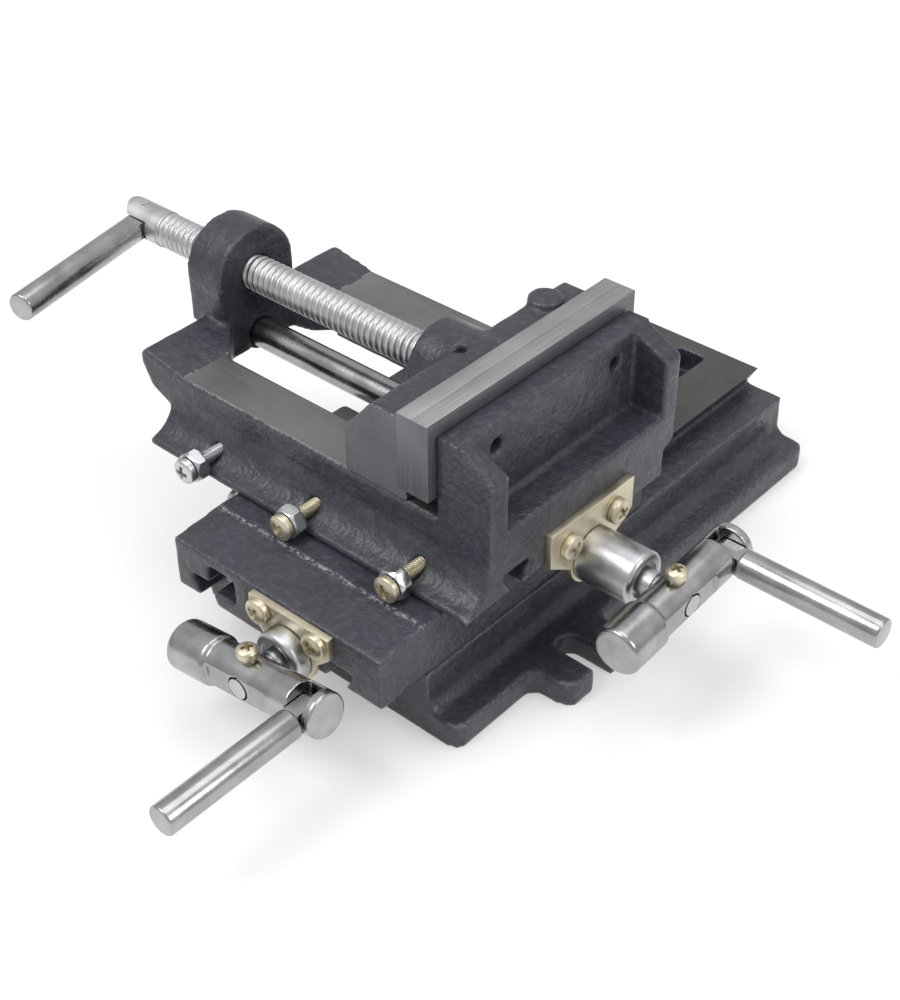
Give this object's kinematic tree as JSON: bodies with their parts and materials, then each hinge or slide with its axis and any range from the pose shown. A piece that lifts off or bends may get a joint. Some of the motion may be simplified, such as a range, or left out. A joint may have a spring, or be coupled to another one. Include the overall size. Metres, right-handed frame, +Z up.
{
  "type": "cross slide vise",
  "caption": "Drill press vise on two crossed dovetail slides, each with its own lead screw and crank, on a slotted cast base.",
  "frame": {"origin": "middle of the base's flat underside", "axes": "+Z up, +X along the vise screw towards the fixed jaw, Y along the base's slide"},
  "size_m": [0.3039, 0.2946, 0.1045],
  "materials": {
    "enamel": "dark blue-grey enamel on rough sand-cast iron, ground bright on the guide faces",
    "ground_iron": "ground",
    "jaw_steel": "ground, grained",
    "bronze": "machined",
    "yellow_zinc": "yellow zinc plated",
    "zinc": "clear zinc plated",
    "bright_steel": "bright turned"
  },
  "bodies": {
    "base": {"base": "enamel", "y_nut": "bronze", "y_nut_screw": "zinc"},
    "saddle": {"saddle": "enamel", "y_gib": "ground_iron", "y_gib_screws": "zinc", "y_gib_nuts": "zinc", "x_nut": "bronze", "y_bracket_plate": "yellow_zinc", "y_bracket_screws": "yellow_zinc"},
    "y_crank": {"y_lead_screw": "bright_steel", "y_collar": "zinc", "y_crank_arm": "bright_steel", "y_crank_set_screw": "yellow_zinc", "y_handle_pin": "bright_steel"},
    "y_crank_handle": {"y_handle": "bright_steel"},
    "vise": {"vise_body": "enamel", "x_gib": "ground_iron", "x_gib_screws": "zinc", "x_gib_nuts": "zinc", "x_bracket_plate": "yellow_zinc", "x_bracket_screws": "yellow_zinc", "fixed_jaw_plate": "jaw_steel", "fixed_jaw_screws": "zinc", "guide_rod": "bright_steel"},
    "x_crank": {"x_lead_screw": "bright_steel", "x_collar": "zinc", "x_crank_arm": "bright_steel", "x_crank_set_screw": "yellow_zinc", "x_handle_pin": "bright_steel"},
    "x_crank_handle": {"x_handle": "bright_steel"},
    "sliding_jaw": {"movable_jaw": "enamel", "movable_jaw_plate": "jaw_steel", "movable_jaw_screws": "zinc", "screw_retaining_pin": "zinc"},
    "jaw_screw": {"vise_screw": "bright_steel", "handle_pin": "bright_steel"},
    "jaw_handle": {"vise_handle": "bright_steel"}
  },
  "joints": [
    {"name": "y_slide", "type": "slide", "parent": "base", "child": "saddle", "axis": [0, 1, 0], "range_m": [-0.06, 0.01]},
    {"name": "y_crank_turn", "type": "hinge", "parent": "saddle", "child": "y_crank", "pos_m": [0.009, -0.1376, 0.0295], "axis": [0, 1, 0], "range_deg": [-8640, 1440]},
    {"name": "y_handle_fold", "type": "hinge", "parent": "y_crank", "child": "y_crank_handle", "pos_m": [0.03376, -0.1376, 0.03298], "axis": [-0.9903, 0, -0.1392], "range_deg": [0, 90]},
    {"name": "x_slide", "type": "slide", "parent": "saddle", "child": "vise", "axis": [1, 0, 0], "range_m": [0, 0.0575]},
    {"name": "x_crank_turn", "type": "hinge", "parent": "vise", "child": "x_crank", "pos_m": [0.0901, -0.0345, 0.0405], "axis": [1, 0, 0], "range_deg": [0, 8280]},
    {"name": "x_handle_fold", "type": "hinge", "parent": "x_crank", "child": "x_crank_handle", "pos_m": [0.0901, -0.00956, 0.04224], "axis": [0, -0.9976, -0.0698], "range_deg": [0, 90]},
    {"name": "jaw_slide", "type": "slide", "parent": "vise", "child": "sliding_jaw", "axis": [1, 0, 0], "range_m": [-0.072, 0]},
    {"name": "jaw_screw_turn", "type": "hinge", "parent": "sliding_jaw", "child": "jaw_screw", "pos_m": [-0.149, -0.0345, 0.0855], "axis": [1, 0, 0], "range_deg": [-6480, 0]},
    {"name": "jaw_handle_fold", "type": "hinge", "parent": "jaw_screw", "child": "jaw_handle", "pos_m": [-0.149, -0.0345, 0.0855], "axis": [0, 0, -1], "range_deg": [0, 204]}
  ],
  "couplings": [
    {"joint": "y_crank_turn", "follows": "y_slide", "rad_per_m": 2513.3},
    {"joint": "x_crank_turn", "follows": "x_slide", "rad_per_m": 2513.3},
    {"joint": "jaw_screw_turn", "follows": "jaw_slide", "rad_per_m": 1570.8}
  ]
}
